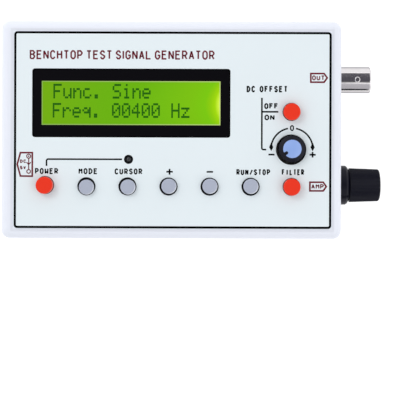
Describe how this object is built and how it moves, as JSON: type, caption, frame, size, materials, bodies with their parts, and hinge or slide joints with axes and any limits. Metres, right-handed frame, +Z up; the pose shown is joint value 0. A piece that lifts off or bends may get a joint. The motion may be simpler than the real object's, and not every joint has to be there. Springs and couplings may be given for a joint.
{
  "type": "function generator",
  "caption": "Small bench function generator: flat rounded box with a two-line display, a row of push buttons, an offset dial, and an amplitude knob and coaxial output on one end.",
  "frame": {"origin": "centre of the case's flat underside, on the surface it stands on", "axes": "+X towards the end with the output socket and amplitude knob, +Y towards the top edge of the control panel, +Z up out of the panel"},
  "size_m": [0.1381, 0.0784, 0.0299],
  "materials": {
    "shell_abs": "fine satin moulded plastic, white",
    "overlay_film": "satin printed film, pale grey-white",
    "steel_screw": "zinc plated",
    "bezel_black": "satin black",
    "lcd_film": "backlit yellow-green film",
    "lcd_glass": "tinted display glass",
    "backlight": "milky light guide",
    "zebra_rubber": "striped conductive rubber",
    "board_green": "solder mask over glass fibre",
    "epoxy_black": "gloss potting",
    "header_black": "moulded connector plastic",
    "pin_metal": "gold flashed",
    "chip_black": "moulded package",
    "network_black": "dipped coating",
    "can_metal": "drawn can",
    "capacitor_sleeve": "shrunk sleeve",
    "ferrite": "wound ferrite drum",
    "trimmer_blue": "moulded",
    "led_lens": "dark tinted lens",
    "tinned_lead": "tinned",
    "jack_black": "moulded",
    "nickel": "nickel plated",
    "switch_body": "moulded",
    "plunger_plastic": "moulded",
    "cap_red": "moulded, bright red",
    "cap_grey": "moulded, blue-grey",
    "pot_metal": "pressed sheet",
    "shaft_metal": "turned",
    "knob_black": "satin moulded",
    "insert_red": "satin red",
    "insert_blue": "satin light blue",
    "dielectric_white": "turned"
  },
  "bodies": {
    "case": {"bottom_shell": "shell_abs", "top_shell": "shell_abs", "case_screws": "steel_screw", "panel_overlay": "overlay_film", "lcd_bezel": "bezel_black", "lcd_polarizer": "lcd_film", "lcd_glass": "lcd_glass", "lcd_backlight": "backlight", "lcd_zebra_strips": "zebra_rubber", "lcd_board": "board_green", "lcd_controller_blobs": "epoxy_black", "lcd_header_strip": "header_black", "lcd_header_pins": "pin_metal", "lcd_header_socket": "header_black", "lcd_screws": "steel_screw", "main_board": "board_green", "board_screws": "steel_screw", "controller_chip": "chip_black", "op_amp_chips": "chip_black", "resistor_network": "network_black", "crystal": "can_metal", "electrolytic_capacitors": "capacitor_sleeve", "boost_inductor": "ferrite", "contrast_trimmer": "trimmer_blue", "power_led": "led_lens", "power_led_legs": "tinned_lead", "dc_jack_body": "jack_black", "dc_jack_pin": "nickel", "dc_jack_spring": "nickel", "tact_switches": "switch_body", "offset_pot_body": "pot_metal", "amplitude_pot_body": "pot_metal", "bnc_body": "nickel", "bnc_insulator": "dielectric_white", "bnc_contact": "pin_metal", "power_switch": "switch_body", "filter_switch": "switch_body", "offset_switch": "switch_body"},
    "power_key": {"power_button": "cap_red", "power_plunger": "plunger_plastic"},
    "filter_key": {"filter_button": "cap_red", "filter_plunger": "plunger_plastic"},
    "offset_key": {"offset_button": "cap_red", "offset_plunger": "plunger_plastic"},
    "mode_key": {"mode_button": "cap_grey", "mode_plunger": "plunger_plastic"},
    "cursor_key": {"cursor_button": "cap_grey", "cursor_plunger": "plunger_plastic"},
    "plus_key": {"plus_button": "cap_grey", "plus_plunger": "plunger_plastic"},
    "minus_key": {"minus_button": "cap_grey", "minus_plunger": "plunger_plastic"},
    "run_stop_key": {"run_stop_button": "cap_grey", "run_stop_plunger": "plunger_plastic"},
    "offset_dial": {"offset_knob": "knob_black", "offset_knob_insert": "insert_blue", "offset_pot_shaft": "shaft_metal"},
    "amplitude_dial": {"amplitude_knob": "knob_black", "amplitude_knob_insert": "insert_red", "amplitude_pot_shaft": "shaft_metal"}
  },
  "joints": [
    {"name": "power_press", "type": "slide", "parent": "case", "child": "power_key", "axis": [0, 0, -1], "range_m": [0, 0.002], "stiffness_N_per_m": 600},
    {"name": "filter_press", "type": "slide", "parent": "case", "child": "filter_key", "axis": [0, 0, -1], "range_m": [0, 0.002], "stiffness_N_per_m": 600},
    {"name": "offset_press", "type": "slide", "parent": "case", "child": "offset_key", "axis": [0, 0, -1], "range_m": [0, 0.002], "stiffness_N_per_m": 600},
    {"name": "mode_press", "type": "slide", "parent": "case", "child": "mode_key", "axis": [0, 0, -1], "range_m": [0, 0.0003], "stiffness_N_per_m": 1000},
    {"name": "cursor_press", "type": "slide", "parent": "case", "child": "cursor_key", "axis": [0, 0, -1], "range_m": [0, 0.0003], "stiffness_N_per_m": 1000},
    {"name": "plus_press", "type": "slide", "parent": "case", "child": "plus_key", "axis": [0, 0, -1], "range_m": [0, 0.0003], "stiffness_N_per_m": 1000},
    {"name": "minus_press", "type": "slide", "parent": "case", "child": "minus_key", "axis": [0, 0, -1], "range_m": [0, 0.0003], "stiffness_N_per_m": 1000},
    {"name": "run_stop_press", "type": "slide", "parent": "case", "child": "run_stop_key", "axis": [0, 0, -1], "range_m": [0, 0.0003], "stiffness_N_per_m": 1000},
    {"name": "offset_turn", "type": "hinge", "parent": "case", "child": "offset_dial", "pos_m": [0.04322, -0.00663, 0.0262], "axis": [0, 0, 1], "range_deg": [-264.6, 15.4]},
    {"name": "amplitude_turn", "type": "hinge", "parent": "case", "child": "amplitude_dial", "pos_m": [0.069, -0.0202, 0.0122], "axis": [1, 0, 0], "range_deg": [-186.2, 113.8]}
  ]
}
